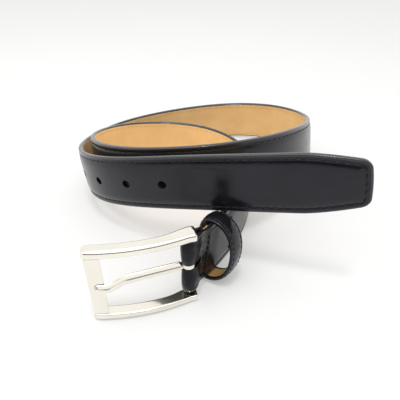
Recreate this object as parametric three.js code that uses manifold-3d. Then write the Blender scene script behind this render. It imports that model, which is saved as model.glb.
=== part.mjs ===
// Leather dress belt with a single-prong buckle and one fixed keeper, coiled and standing on its edge.
// Millimetres, +Z up. The origin is under the middle of the whole belt, on the surface it stands on.
//
// The strap is described in belt coordinates: s is the distance from the buckle pin towards the tip,
// v runs across the strap (0 at its middle, positive up), and n is the distance out from the lining's
// bare face (positive towards the black outer face). place() turns them into space along the route.

import * as THREE from 'three';
import { mergeVertices } from 'three/addons/utils/BufferGeometryUtils.js';
import Module from 'manifold-3d';

const wasm = await Module();
wasm.setup();

// Strap
const STRAP_WIDTH = 35;
const STRAP_LENGTH = 1023.5;
const LINING_THICKNESS = 1.1;
const FILLER_THICKNESS = 0.8;
const COVER_THICKNESS = 2.0;
const CROWN = 0.9;
const MARGIN = 5;
const CROWN_SHOULDER = 4;
const EDGE_CHAMFER = 0.5;
const LAYER_GAP = 0.1;
const LINING_INSET = 0.25;
const FILLER_INSET = 5.5;
const FILLER_PLAY = 0.3;
const FILLER_SKIVE = 0.25;
const BED_SLOPE = 1;
const STATION_STEP = 11;
const TURNBACK_STATION_STEP = 6;

// Tip
const TIP_WIDTH = 24.5;
const TIP_TAPER = 34;
const TIP_BULGE = 3;
const FILLER_TIP_SETBACK = 12;

// Holes, counted from the tip
const HOLE_DIAMETER = 5;
const HOLE_COUNT = 5;
const HOLE_PITCH = 25;
const FIRST_HOLE_FROM_TIP = 111.5;

// Fold round the buckle pin
const FOLD_NARROWING = 0.5;
const FOLD_LENGTH = 5.5;
const FOLD_THICKNESS = 1.7;
const FLARE_LENGTH = 7.5;
const FULL_WIDTH_AT = 14;
const TURNBACK_LENGTH = 45;
const TURNBACK_INSET = 1.2;
const SLOT_LENGTH = 8;
const SLOT_CLEARANCE = 0.5;

// Stitching
const STITCH_INSET = 3;
const STITCH_START = 13;
const THREAD_WIDTH = 0.8;
const THREAD_HEIGHT = 0.35;
const THREAD_GAP = 0.1;
const CROSS_ROW_PLACES = [11, 39];
const CROSS_ROW_MARGIN = 4;

// Keeper
const KEEPER_WIDTH = 12.5;
const KEEPER_CENTRE = 20.3;
const KEEPER_SIDE_CLEARANCE = 0.5;
const KEEPER_ROOM = 11.3;
const KEEPER_BACK_CLEARANCE = 2.4;
const KEEPER_LINING_THICKNESS = 0.6;
const KEEPER_COVER_THICKNESS = 1.2;
const KEEPER_CROWN = 0.4;
const KEEPER_STITCH_INSET = 1.6;
const STAPLE_LENGTH = 8;
const STAPLE_WIRE = 0.5;

// Buckle
const BUCKLE_LENGTH = 52.6;
const BUCKLE_DEPTH = 6.5;
const BUCKLE_BOW = 3.3;
const RAIL_HEIGHT = 4.6;
const RAIL_RIDGE = 4;
const RAIL_EDGE = 0.5;
const RAIL_TAIL = 3.7;
const RAIL_CLEARANCE = 2.5;
const TAIL_ROUNDING = 0.9;
const CORNER_ROUNDING = 3;
const LUG_DEPTH = 1.6;
const LUG_LENGTH = 14;
const FRONT_BAR_WIDTH = 8.2;
const FRONT_BAR_DEPTH = 3.8;
const FRONT_BAR_RECESS = 0.7;
const BUCKLE_SWING = THREE.MathUtils.degToRad(-39.8);
const PIN_DIAMETER = 3.2;
const PIN_SETBACK = 2.7;
const PIN_SEAT_DEPTH = 4;
const RUNNING_GAP = 0.3;

// Prong
const PRONG_WIDTH = 4.6;
const PRONG_THICKNESS = 3;
const PRONG_EYE_WALL = 1.6;
const PRONG_JOGGLE_LENGTH = 11;
const PRONG_JOGGLE_SETBACK = 1.3;
const PRONG_SHANK_RISE = 3.4;
const PRONG_REACH = 4.4;
const PRONG_PROUD = 2.1;
const NOTCH_CLEARANCE = 0.4;

// Route
const CROSSING_GAP = 1;

// Derived sizes
const COVER_BASE = LINING_THICKNESS + LAYER_GAP;
const FACE = COVER_BASE + COVER_THICKNESS;
const FOLD_WIDTH = STRAP_WIDTH - 2 * FOLD_NARROWING;
const WRAP_RADIUS = PIN_DIAMETER / 2 + RUNNING_GAP;
const PIN_N = (COVER_BASE - LAYER_GAP) / 2;
const TURNBACK_FACE = -LAYER_GAP - FOLD_THICKNESS;
const GAP_HALF = FOLD_WIDTH / 2 + RAIL_CLEARANCE;
const BUCKLE_HALF = GAP_HALF + RAIL_HEIGHT;
const HEM_RISE = BUCKLE_HALF - STRAP_WIDTH / 2;
const OVER = STRAP_WIDTH + CROSSING_GAP;

// Poles of a uniform cubic B-spline for the strap's lower edge, from the buckle to the tip:
// x, y, rise above the surface, and lean in degrees (positive tips the upper edge outwards).
// Near the pin the rise lifts the strap to the middle of the standing buckle. The later wraps
// climb over the first stretch, so their rise is a share of OVER, one strap width and a gap.
const ROUTE = [
  [-29.5, -115, 0, 0],
  [-17.5, -102, 0.55 * HEM_RISE, 0],
  [-6.4, -88, 1.225 * HEM_RISE, 0],
  [4, -73, 0.55 * HEM_RISE, 0],
  [13.5, -57, 0.3 * HEM_RISE, 0],
  [22, -40.5, 0.05 * HEM_RISE, 0],
  [30, -22, 0, -1],
  [37, 10, 0, -1],
  [30, 42, 0, -1],
  [7, 67, 0, -1],
  [-24, 77, 0, -1],
  [-55, 70, 0.06 * OVER, 0],
  [-73, 46, 0.21 * OVER, 1],
  [-76, 15, 0.43 * OVER, 2],
  [-61, -14, 0.65 * OVER, 3],
  [-33.5, -34, 0.86 * OVER, 2],
  [1, -43, 1.03 * OVER, 0],
  [34, -34, 1.03 * OVER, -2],
  [61, -10, 0.86 * OVER, -6],
  [81, 21, 0.61 * OVER, -9],
  [91, 56, 0.36 * OVER, -8],
  [86, 90, 0.19 * OVER, -7],
  [65, 116, 0.08 * OVER, -7],
  [31, 125, 0.02 * OVER, -7],
  [-6, 117, 0, -6],
  [-42, 99, 0, -4],
  [-70, 73, 0.03 * OVER, 0],
  [-85, 40, 0.1 * OVER, 2],
  [-82, 4, 0.29 * OVER, 4],
  [-61, -25, 0.57 * OVER, 5],
  [-29, -43, 0.84 * OVER, 2.5],
  [5, -55, 1.04 * OVER, 0],
  [40, -67, 1.23 * OVER, 0],
  [75, -79, 1.44 * OVER, 0],
  [110, -88, 1.63 * OVER, 0],
  [145, -95, 1.82 * OVER, 0],
];
const PIN_POLE = 2;

// ---------------------------------------------------------------- route

function blendPoles(u) {
  const span = Math.min(Math.max(Math.floor(u), 0), ROUTE.length - 4);
  const t = u - span;
  const weights = [
    (1 - t) ** 3 / 6,
    (3 * t ** 3 - 6 * t ** 2 + 4) / 6,
    (-3 * t ** 3 + 3 * t ** 2 + 3 * t + 1) / 6,
    t ** 3 / 6,
  ];
  return [0, 1, 2, 3].map((axis) => {
    let sum = 0;
    weights.forEach((weight, i) => {
      sum += weight * ROUTE[span + i][axis];
    });
    return sum;
  });
}

// Lengths along the route, measured in small steps from the pin.
function measureRoute() {
  const steps = 40;
  const first = PIN_POLE - 1;
  const last = ROUTE.length - 3;
  const table = [{ u: first, s: 0 }];
  let before = new THREE.Vector3(...blendPoles(first));
  for (let i = 1; i <= (last - first) * steps; i += 1) {
    const u = first + i / steps;
    const here = new THREE.Vector3(...blendPoles(u));
    table.push({ u, s: table[i - 1].s + here.distanceTo(before) });
    before = here;
  }
  return table;
}

const LENGTHS = measureRoute();

function routeParameter(s) {
  const last = LENGTHS[LENGTHS.length - 1];
  if (s <= 0) return LENGTHS[0].u;
  if (s >= last.s) return last.u;
  let i = LENGTHS.findIndex((entry) => entry.s > s);
  i = Math.max(i, 1);
  const a = LENGTHS[i - 1];
  const b = LENGTHS[i];
  return a.u + ((b.u - a.u) * (s - a.s)) / (b.s - a.s);
}

// Position of the strap's middle line and its three directions at distance s. Before the pin
// and past the route's last point, the line goes on straight.
function strapFrame(s) {
  const last = LENGTHS[LENGTHS.length - 1].s;
  const inside = Math.min(Math.max(s, 0), last);
  const u = routeParameter(inside);
  const tiny = 0.01;
  const here = blendPoles(u);
  const low = blendPoles(Math.max(u - tiny, 0));
  const high = blendPoles(Math.min(u + tiny, ROUTE.length - 3));
  const along = new THREE.Vector3(high[0] - low[0], high[1] - low[1], high[2] - low[2]).normalize();
  const up = new THREE.Vector3(0, 0, 1).addScaledVector(along, -along.z).normalize();
  const out = new THREE.Vector3().crossVectors(along, up);
  const lean = THREE.MathUtils.degToRad(here[3]);
  const across = up.clone().multiplyScalar(Math.cos(lean)).addScaledVector(out, Math.sin(lean));
  const outward = out.clone().multiplyScalar(Math.cos(lean)).addScaledVector(up, -Math.sin(lean));
  const middle = new THREE.Vector3(here[0], here[1], here[2])
    .addScaledVector(across, STRAP_WIDTH / 2)
    .addScaledVector(along, s - inside);
  return { middle, along, across, outward };
}

function place(s, v, n) {
  const frame = strapFrame(s);
  return frame.middle.addScaledVector(frame.across, v).addScaledVector(frame.outward, n);
}

// ---------------------------------------------------------------- solids

function geometryFrom(points, triangles) {
  const geometry = new THREE.BufferGeometry();
  geometry.setAttribute('position', new THREE.Float32BufferAttribute(points.flatMap((p) => [p.x, p.y, p.z]), 3));
  geometry.setIndex(triangles.flat());
  return geometry;
}

// Closed body through equal rings of points. An open run gets a fan at each end; a loop gets none.
// Each four-sided patch is split from the lower point of its first ring, so that two layers lofted
// over the same stations keep the same split and stay parallel where the strap twists.
function loft(rings, isLoop = false) {
  const count = rings[0].length;
  const points = rings.flat();
  const triangles = [];
  const spans = isLoop ? rings.length : rings.length - 1;
  for (let i = 0; i < spans; i += 1) {
    const next = (i + 1) % rings.length;
    for (let j = 0; j < count; j += 1) {
      const k = (j + 1) % count;
      const [a, b, c, d] = [i * count + j, i * count + k, next * count + k, next * count + j];
      if (points[a].z <= points[b].z) triangles.push([a, d, c], [a, c, b]);
      else triangles.push([a, d, b], [d, c, b]);
    }
  }
  if (!isLoop) {
    [0, rings.length - 1].forEach((end) => {
      const centre = new THREE.Vector3();
      rings[end].forEach((p) => centre.addScaledVector(p, 1 / count));
      points.push(centre);
      for (let j = 0; j < count; j += 1) {
        const edge = [end * count + j, end * count + ((j + 1) % count)];
        triangles.push(end === 0 ? [points.length - 1, ...edge] : [points.length - 1, edge[1], edge[0]]);
      }
    });
  }
  return outwardFacing(geometryFrom(points, triangles));
}

function signedVolume(geometry) {
  const position = geometry.getAttribute('position');
  const index = geometry.getIndex();
  const corners = [new THREE.Vector3(), new THREE.Vector3(), new THREE.Vector3()];
  let volume = 0;
  for (let i = 0; i < index.count; i += 3) {
    corners.forEach((corner, j) => corner.fromBufferAttribute(position, index.getX(i + j)));
    volume += corners[0].dot(corners[1].cross(corners[2])) / 6;
  }
  return volume;
}

function outwardFacing(geometry) {
  if (signedVolume(geometry) > 0) return geometry;
  const index = Array.from(geometry.getIndex().array);
  for (let i = 0; i < index.length; i += 3) {
    [index[i + 1], index[i + 2]] = [index[i + 2], index[i + 1]];
  }
  geometry.setIndex(index);
  return geometry;
}

function toManifold(geometry) {
  const bare = geometry.clone();
  bare.deleteAttribute('normal');
  bare.deleteAttribute('uv');
  const merged = mergeVertices(bare, 1e-4);
  const mesh = new wasm.Mesh({
    numProp: 3,
    vertProperties: new Float32Array(merged.getAttribute('position').array),
    triVerts: new Uint32Array(merged.getIndex().array),
  });
  return new wasm.Manifold(mesh);
}

function fromManifold(solid) {
  const mesh = solid.getMesh();
  const geometry = new THREE.BufferGeometry();
  geometry.setAttribute('position', new THREE.BufferAttribute(new Float32Array(mesh.vertProperties), 3));
  geometry.setIndex(new THREE.BufferAttribute(new Uint32Array(mesh.triVerts), 1));
  return geometry;
}

function subtractAll(geometry, cutters) {
  let solid = toManifold(geometry);
  cutters.forEach((cutter) => {
    solid = solid.subtract(toManifold(cutter));
  });
  return fromManifold(solid);
}

function addAll(geometries) {
  let solid = toManifold(geometries[0]);
  geometries.slice(1).forEach((geometry) => {
    solid = solid.add(toManifold(geometry));
  });
  return fromManifold(solid);
}

// ---------------------------------------------------------------- strap outline and section

function smooth(x) {
  const t = Math.min(Math.max(x, 0), 1);
  return t * t * (3 - 2 * t);
}

function halfWidth(s) {
  const widening = smooth((s - FOLD_LENGTH) / (FULL_WIDTH_AT - FOLD_LENGTH));
  const full = FOLD_WIDTH / 2 + FOLD_NARROWING * widening;
  const toTip = STRAP_LENGTH - s;
  const taper = Math.max(1 - toTip / TIP_TAPER, 0) ** 1.5;
  const tapered = full - ((STRAP_WIDTH - TIP_WIDTH) / 2) * taper;
  const rounding = Math.max(1 - toTip / TIP_BULGE, 0);
  return Math.max(tapered * (1 - rounding ** 3) ** 0.45, tapered * 0.15);
}

function coverThickness(s) {
  const t = smooth((s - FLARE_LENGTH) / (FULL_WIDTH_AT - FLARE_LENGTH));
  return FOLD_THICKNESS + (COVER_THICKNESS - FOLD_THICKNESS) * t;
}

// The padded middle fades out at the fold and before the tip.
function padding(s) {
  const fromFold = smooth((s - FULL_WIDTH_AT + 2) / 10);
  const fromTip = smooth((STRAP_LENGTH - s - 3) / (FILLER_TIP_SETBACK - 3));
  return fromFold * fromTip;
}

// Outer face across the strap as [v, height above the cover's base], for v from 0 to the edge.
function facePoints(s) {
  const scale = halfWidth(s) / (STRAP_WIDTH / 2);
  const thick = coverThickness(s);
  const crown = CROWN * padding(s);
  const half = STRAP_WIDTH / 2;
  return [
    [0, thick + crown],
    [(half - MARGIN - CROWN_SHOULDER) * scale, thick + 0.75 * crown],
    [(half - MARGIN) * scale, thick + 0.08 * crown],
    [(half - EDGE_CHAMFER) * scale, thick],
    [half * scale, thick - EDGE_CHAMFER],
  ];
}

function faceHeight(s, v) {
  const points = facePoints(s);
  const reach = Math.min(Math.abs(v), points[points.length - 1][0]);
  let i = points.findIndex((p) => p[0] >= reach);
  i = Math.max(i, 1);
  const [v0, k0] = points[i - 1];
  const [v1, k1] = points[i];
  return k0 + ((k1 - k0) * (reach - v0)) / (v1 - v0);
}

function fillerThickness(s) {
  return FILLER_SKIVE + (FILLER_THICKNESS - FILLER_SKIVE) * padding(s);
}

// Stations along the strap between the fold's flare and the tip, closer where the outline turns.
function mainStations() {
  const stations = [FLARE_LENGTH, (FLARE_LENGTH + FULL_WIDTH_AT) / 2, FULL_WIDTH_AT, KEEPER_CENTRE];
  const legs = [
    [KEEPER_CENTRE, TURNBACK_LENGTH, TURNBACK_STATION_STEP],
    [TURNBACK_LENGTH, STRAP_LENGTH - TIP_TAPER, STATION_STEP],
  ];
  legs.forEach(([from, to, step]) => {
    const count = Math.round((to - from) / step);
    for (let i = 1; i <= count; i += 1) stations.push(from + ((to - from) * i) / count);
  });
  [24, 17, 12, 7, TIP_BULGE, 1.7, 0.8, 0.25, 0].forEach((toTip) => stations.push(STRAP_LENGTH - toTip));
  return stations;
}

function isFilled(s) {
  return s >= FULL_WIDTH_AT && s <= STRAP_LENGTH - FILLER_TIP_SETBACK;
}

// ---------------------------------------------------------------- strap layers

// Half the width of the filler's bed in the cover, where the strap's own half width is `half`.
function bedHalf(half) {
  return ((STRAP_WIDTH / 2 - FILLER_INSET) * half) / (STRAP_WIDTH / 2);
}

// Cover section as [v, k] round the ring: the underside with a recess for the filler, then the face.
function coverSection(half, recess, face) {
  const bed = bedHalf(half);
  const lip = bed + (BED_SLOPE * half) / (STRAP_WIDTH / 2);
  const underside = [[-half, 0], [-lip, 0], [-bed, recess], [bed, recess], [lip, 0], [half, 0]];
  const right = face.slice(1).reverse();
  const left = face.slice(1).map(([v, k]) => [-v, k]);
  return [...underside, ...right, face[0], ...left];
}

// A skived, flat section for the stretch that goes round the pin and back behind the strap.
function foldSection(half) {
  const scale = half / (STRAP_WIDTH / 2);
  const flat = facePoints(0).map(([v], i) => [
    (v / facePoints(0)[4][0]) * half,
    i === 4 ? FOLD_THICKNESS - EDGE_CHAMFER : FOLD_THICKNESS,
  ]);
  return coverSection((STRAP_WIDTH / 2) * scale, 0, flat);
}

function turnbackHalf(s) {
  const widening = smooth((s - FOLD_LENGTH) / (FULL_WIDTH_AT - FOLD_LENGTH));
  return FOLD_WIDTH / 2 + (FOLD_NARROWING - TURNBACK_INSET) * widening;
}

// The cover's underside as a path in s and n, with its outward normal: from the turnback's end
// behind the strap, round the pin, and on to the tip.
function coverPath() {
  const path = [];
  const back = mainStations().filter((s) => s <= TURNBACK_LENGTH).reverse();
  back.forEach((s) => path.push({ s, n: -LAYER_GAP, ds: 0, dn: -1, fold: turnbackHalf(s) }));
  const flare = (n0, n1, t) => n0 + (n1 - n0) * smooth(t);
  [0.75, 0.5, 0.25].forEach((t) => {
    const n = flare(PIN_N - WRAP_RADIUS, -LAYER_GAP, t);
    path.push({ s: FLARE_LENGTH * t, n, ds: 0, dn: -1, fold: FOLD_WIDTH / 2 });
  });
  const turns = 10;
  for (let i = 0; i <= turns; i += 1) {
    const angle = -Math.PI / 2 - (Math.PI * i) / turns;
    const ds = Math.cos(angle);
    const dn = Math.sin(angle);
    path.push({ s: WRAP_RADIUS * ds, n: PIN_N + WRAP_RADIUS * dn, ds, dn, fold: FOLD_WIDTH / 2 });
  }
  [0.25, 0.5, 0.75].forEach((t) => {
    const n = flare(PIN_N + WRAP_RADIUS, COVER_BASE, t);
    path.push({ s: FLARE_LENGTH * t, n, ds: 0, dn: 1, fold: FOLD_WIDTH / 2 });
  });
  mainStations().forEach((s) => path.push({ s, n: COVER_BASE, ds: 0, dn: 1, fold: 0 }));
  return path;
}

function holePlaces() {
  const places = [];
  for (let i = 0; i < HOLE_COUNT; i += 1) {
    places.push(STRAP_LENGTH - FIRST_HOLE_FROM_TIP - i * HOLE_PITCH);
  }
  return places;
}

function holeCutters() {
  return holePlaces().map((s) => {
    const cutter = new THREE.CylinderGeometry(HOLE_DIAMETER / 2, HOLE_DIAMETER / 2, 20, 16);
    const { middle, outward } = strapFrame(s);
    const turn = new THREE.Quaternion().setFromUnitVectors(new THREE.Vector3(0, 1, 0), outward);
    cutter.applyQuaternion(turn);
    cutter.translate(middle.x, middle.y, middle.z);
    return cutter;
  });
}

// Slot in the fold that the prong swings in, with rounded ends.
function slotCutter() {
  const half = PRONG_WIDTH / 2 + SLOT_CLEARANCE + RUNNING_GAP;
  const shape = new THREE.Shape();
  shape.absarc(SLOT_LENGTH - half, 0, half, -Math.PI / 2, Math.PI / 2, false);
  shape.lineTo(-SLOT_LENGTH, half);
  shape.lineTo(-SLOT_LENGTH, -half);
  shape.closePath();
  const cutter = new THREE.ExtrudeGeometry(shape, { depth: 16, bevelEnabled: false, curveSegments: 8 });
  cutter.translate(0, 0, -8 + PIN_N);
  const { middle, along, across, outward } = strapFrame(0);
  cutter.applyMatrix4(new THREE.Matrix4().makeBasis(along, across, outward).setPosition(middle));
  return outwardFacing(cutter.index ? cutter : mergeVertices(stripped(cutter)));
}

function stripped(geometry) {
  geometry.deleteAttribute('normal');
  geometry.deleteAttribute('uv');
  return geometry;
}

function coverGeometry() {
  const rings = coverPath().map(({ s, n, ds, dn, fold }) => {
    const recess = isFilled(s) && !fold ? fillerThickness(s) + LAYER_GAP : 0;
    const section = fold ? foldSection(fold) : coverSection(halfWidth(s), recess, facePoints(s));
    return section.map(([v, k]) => place(s + k * ds, v, n + k * dn));
  });
  return subtractAll(loft(rings), [...holeCutters(), slotCutter()]);
}

function liningGeometry() {
  const stations = mainStations().filter((s) => s > FLARE_LENGTH);
  const rings = stations.map((s) => {
    const half = halfWidth(s) - LINING_INSET;
    const bed = bedHalf(halfWidth(s));
    const underside = [[-half, 0], [-bed, 0], [bed, 0], [half, 0]];
    const top = underside.map(([v]) => [-v, LINING_THICKNESS]);
    return [...underside, ...top].map(([v, n]) => place(s, v, n));
  });
  return subtractAll(loft(rings), holeCutters());
}

function fillerGeometry() {
  const rings = mainStations().filter(isFilled).map((s) => {
    const half = bedHalf(halfWidth(s)) - FILLER_PLAY;
    const top = COVER_BASE + fillerThickness(s);
    const section = [[-half, COVER_BASE], [half, COVER_BASE], [half, top], [-half, top]];
    return section.map(([v, n]) => place(s, v, n));
  });
  return subtractAll(loft(rings), holeCutters());
}

// ---------------------------------------------------------------- strap stitching

// Route of the seam in s and v: up one edge, across the tip and back down the other edge.
function seamPath(start) {
  const stations = mainStations().filter((s) => s >= start && s <= STRAP_LENGTH - 7);
  const edge = stations.map((s) => [s, halfWidth(s) - STITCH_INSET]);
  const tipHalf = halfWidth(STRAP_LENGTH - TIP_BULGE) - STITCH_INSET;
  const corner = [
    [STRAP_LENGTH - 4.8, tipHalf - 0.3],
    [STRAP_LENGTH - 3.7, tipHalf - 1.4],
    [STRAP_LENGTH - 3.2, tipHalf - 3.2],
  ];
  const side = [...edge, ...corner];
  const lower = side.map(([s, v]) => [s, -v]);
  return [...lower, [STRAP_LENGTH - 3, 0], ...side.reverse()];
}

// Thin thread lying on a surface: base() gives n under it, and sign is the side it stands out to.
function threadGeometry(path, base, sign) {
  const rings = path.map(([s, v], i) => {
    const before = path[Math.max(i - 1, 0)];
    const after = path[Math.min(i + 1, path.length - 1)];
    const length = Math.hypot(after[0] - before[0], after[1] - before[1]);
    const sideS = (-(after[1] - before[1]) / length) * (THREAD_WIDTH / 2);
    const sideV = ((after[0] - before[0]) / length) * (THREAD_WIDTH / 2);
    const low = base(s, v) + sign * THREAD_GAP;
    const high = low + sign * THREAD_HEIGHT;
    return [
      place(s - sideS, v - sideV, low),
      place(s + sideS, v + sideV, low),
      place(s, v, high),
    ];
  });
  return loft(rings);
}

function faceSeamGeometry() {
  return threadGeometry(seamPath(STITCH_START), (s, v) => COVER_BASE + faceHeight(s, v), 1);
}

function liningSeamGeometry() {
  return threadGeometry(seamPath(TURNBACK_LENGTH + 3), () => 0, -1);
}

function crossRowPath(s) {
  const half = turnbackHalf(s) - CROSS_ROW_MARGIN;
  return [-1, -0.5, 0, 0.5, 1].map((share) => [s, share * half]);
}

function crossRowFaceGeometry(s) {
  const path = crossRowPath(s);
  const top = Math.max(...path.map(([, v]) => faceHeight(s, v)));
  return threadGeometry(path, () => COVER_BASE + top, 1);
}

function crossRowBackGeometry(s) {
  return threadGeometry(crossRowPath(s), () => TURNBACK_FACE, -1);
}

// ---------------------------------------------------------------- keeper

// Closed D-shaped loop in v and n, offset outwards by `offset`: a full arch over the face and a
// squarer back. The back lies behind the turnback.
function keeperPoint(angle, offset) {
  const side = STRAP_WIDTH / 2 + KEEPER_SIDE_CLEARANCE + offset;
  const level = FACE / 2;
  const isFront = Math.sin(angle) >= 0;
  const front = FACE + CROWN + KEEPER_ROOM + offset - level;
  const back = level - TURNBACK_FACE + KEEPER_BACK_CLEARANCE + offset;
  const power = isFront ? 2.2 : 3.2;
  const depth = isFront ? front : -back;
  const v = side * Math.sign(Math.cos(angle)) * Math.abs(Math.cos(angle)) ** (2 / power);
  const n = level + depth * Math.abs(Math.sin(angle)) ** (2 / power);
  return [v, n];
}

// Angles round the loop, closer together at the two back corners.
function keeperAngles() {
  const angles = [];
  for (let i = 0; i <= 24; i += 1) angles.push((Math.PI * i) / 24);
  [8, 20, 35, 52, 70, 90, 110, 128, 145, 160, 172].forEach((degrees) => {
    angles.push(Math.PI + THREE.MathUtils.degToRad(degrees));
  });
  return angles;
}

function keeperLoop(section) {
  const frame = strapFrame(KEEPER_CENTRE);
  const rings = keeperAngles().map((angle) => section.map(([ds, offset]) => {
    const [v, n] = keeperPoint(angle, offset);
    return frame.middle.clone()
      .addScaledVector(frame.along, ds)
      .addScaledVector(frame.across, v)
      .addScaledVector(frame.outward, n);
  }));
  return loft(rings, true);
}

function keeperLiningGeometry() {
  const half = KEEPER_WIDTH / 2 - LINING_INSET;
  const thick = KEEPER_LINING_THICKNESS;
  return keeperLoop([[-half, 0], [half, 0], [half, thick], [-half, thick]]);
}

const KEEPER_COVER_BASE = KEEPER_LINING_THICKNESS + LAYER_GAP;

function keeperCoverGeometry() {
  const half = KEEPER_WIDTH / 2;
  const base = KEEPER_COVER_BASE;
  const top = base + KEEPER_COVER_THICKNESS;
  return keeperLoop([
    [-half, base],
    [half, base],
    [half, top - 0.4],
    [half - 0.5, top],
    [0, top + KEEPER_CROWN],
    [-half + 0.5, top],
    [-half, top - 0.4],
  ]);
}

function keeperThreadGeometry(side) {
  const middle = side * (KEEPER_WIDTH / 2 - KEEPER_STITCH_INSET);
  const slope = KEEPER_CROWN / (KEEPER_WIDTH / 2 - 0.5);
  const lift = slope * (KEEPER_STITCH_INSET - 0.5 + THREAD_WIDTH / 2);
  const low = KEEPER_COVER_BASE + KEEPER_COVER_THICKNESS + lift + THREAD_GAP;
  const high = low + THREAD_HEIGHT;
  const half = THREAD_WIDTH / 2;
  return keeperLoop([
    [middle - half, low],
    [middle + half, low],
    [middle + half * 0.6, high],
    [middle - half * 0.6, high],
  ]);
}

// Wire staple across the keeper's butt joint, between its lining and the turnback.
function stapleGeometry() {
  const frame = strapFrame(KEEPER_CENTRE);
  const [, inner] = keeperPoint(-Math.PI / 2, 0);
  const shape = new THREE.Shape();
  shape.absellipse(0, 0, STAPLE_WIRE, STAPLE_WIRE / 2, 0, Math.PI * 2, false, 0);
  const wire = new THREE.ExtrudeGeometry(shape, { depth: STAPLE_LENGTH, bevelEnabled: false, curveSegments: 6 });
  wire.translate(0, 0, -STAPLE_LENGTH / 2);
  const basis = new THREE.Matrix4().makeBasis(frame.along, frame.outward.clone().negate(), frame.across);
  const lift = inner + STAPLE_WIRE / 2 + THREAD_GAP;
  basis.setPosition(frame.middle.clone().addScaledVector(frame.outward, lift));
  wire.applyMatrix4(basis);
  return mergeVertices(stripped(wire));
}

// ---------------------------------------------------------------- buckle

// Buckle coordinates: x from the pin to the front bar, y towards the face, z along the pin. The pin
// sits behind the rails' middle depth, in a lug at the back of each rail.
function railMiddle(x) {
  const half = BUCKLE_LENGTH / 2;
  return PIN_SETBACK + BUCKLE_BOW * (1 - ((x - half) / half) ** 2);
}

// Rail section as [y, z] from the rail's middle depth and inner side, with a wide outer face that
// slopes down to the back.
function railSection(x) {
  const back = -BUCKLE_DEPTH / 2 - LUG_DEPTH * smooth(1 - x / LUG_LENGTH);
  const front = BUCKLE_DEPTH / 2;
  return [
    [back, 0],
    [front - RAIL_EDGE, 0],
    [front, RAIL_EDGE],
    [front, RAIL_RIDGE - RAIL_EDGE],
    [front - RAIL_EDGE, RAIL_RIDGE],
    [0, RAIL_HEIGHT],
    [back + RAIL_EDGE, RAIL_HEIGHT],
    [back, RAIL_HEIGHT - RAIL_EDGE],
  ];
}

// The rail's two ends are rounded off, the front one with the larger radius.
function railRounding(x) {
  const tail = Math.max(1 - (x + RAIL_TAIL) / TAIL_ROUNDING, 0);
  const head = Math.max(1 - (BUCKLE_LENGTH - x) / CORNER_ROUNDING, 0);
  return 1 - 0.2 * tail ** 2 - 0.45 * head ** 2;
}

function railGeometry(side) {
  const stations = [-RAIL_TAIL, -RAIL_TAIL + TAIL_ROUNDING];
  for (let i = 0; i <= 11; i += 1) stations.push(((BUCKLE_LENGTH - CORNER_ROUNDING) * i) / 11);
  [0.6, 0.25, 0].forEach((share) => stations.push(BUCKLE_LENGTH - CORNER_ROUNDING * share));
  const rings = stations.map((x) => {
    const middle = railMiddle(Math.max(x, 0));
    const shrink = railRounding(x);
    return railSection(x).map(([y, z]) => new THREE.Vector3(
      x,
      middle + y * shrink,
      side * (GAP_HALF + z * shrink),
    ));
  });
  return loft(rings);
}

const FRONT_BAR_START = BUCKLE_LENGTH - FRONT_BAR_WIDTH;

function frontBarFace(x) {
  return railMiddle(x) + BUCKLE_DEPTH / 2 - FRONT_BAR_RECESS;
}

function frontBarGeometry() {
  const half = GAP_HALF + 0.4 * RAIL_HEIGHT;
  const middle = FRONT_BAR_START + FRONT_BAR_WIDTH / 2;
  const stations = [FRONT_BAR_START, FRONT_BAR_START + 0.6, middle, BUCKLE_LENGTH - 1.5, BUCKLE_LENGTH - 0.5];
  const rings = stations.map((x) => {
    const front = frontBarFace(x);
    const edge = x === FRONT_BAR_START ? 0.4 : 0;
    return [
      [front - FRONT_BAR_DEPTH + edge, -half],
      [front - edge, -half],
      [front - edge, half],
      [front - FRONT_BAR_DEPTH + edge, half],
    ].map(([y, z]) => new THREE.Vector3(x, y, z));
  });
  return loft(rings);
}

// Recess in the front bar that the prong's tip lies in.
function notchCutter() {
  const half = PRONG_WIDTH / 2 + NOTCH_CLEARANCE;
  const end = FRONT_BAR_START + PRONG_REACH + NOTCH_CLEARANCE;
  const rings = [FRONT_BAR_START - 1, FRONT_BAR_START + 0.6, end - 1.6, end].map((x) => {
    const floor = frontBarFace(x) + PRONG_PROUD - PRONG_THICKNESS - RUNNING_GAP;
    const top = frontBarFace(x) + 1;
    const width = x === end ? half - 1.2 : half;
    return [[floor, -width], [top, -width], [top, width], [floor, width]].map(([y, z]) => new THREE.Vector3(x, y, z));
  });
  return loft(rings);
}

function roundBar(radius, length) {
  const bar = new THREE.CylinderGeometry(radius, radius, length, 20);
  bar.rotateX(Math.PI / 2);
  return bar;
}

function buckleFrameGeometry() {
  const body = addAll([railGeometry(1), railGeometry(-1), frontBarGeometry()]);
  const seat = roundBar(PIN_DIAMETER / 2 + RUNNING_GAP, 2 * (GAP_HALF + PIN_SEAT_DEPTH));
  return subtractAll(body, [seat, notchCutter()]);
}

function pinGeometry() {
  const pin = roundBar(PIN_DIAMETER / 2, 2 * (GAP_HALF + PIN_SEAT_DEPTH - RUNNING_GAP));
  return mergeVertices(stripped(pin));
}

// Underside of the prong: a straight shank, then a joggle up into the front bar's notch.
const JOGGLE_END = FRONT_BAR_START - PRONG_JOGGLE_SETBACK;
const JOGGLE_START = JOGGLE_END - PRONG_JOGGLE_LENGTH;

function prongUnderside(x) {
  const shank = -PRONG_THICKNESS / 2 + (PRONG_SHANK_RISE * Math.min(x, JOGGLE_START)) / JOGGLE_START;
  const inNotch = frontBarFace(Math.max(x, FRONT_BAR_START)) + PRONG_PROUD - PRONG_THICKNESS;
  return shank + (inNotch - shank) * smooth((x - JOGGLE_START) / PRONG_JOGGLE_LENGTH);
}

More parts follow.
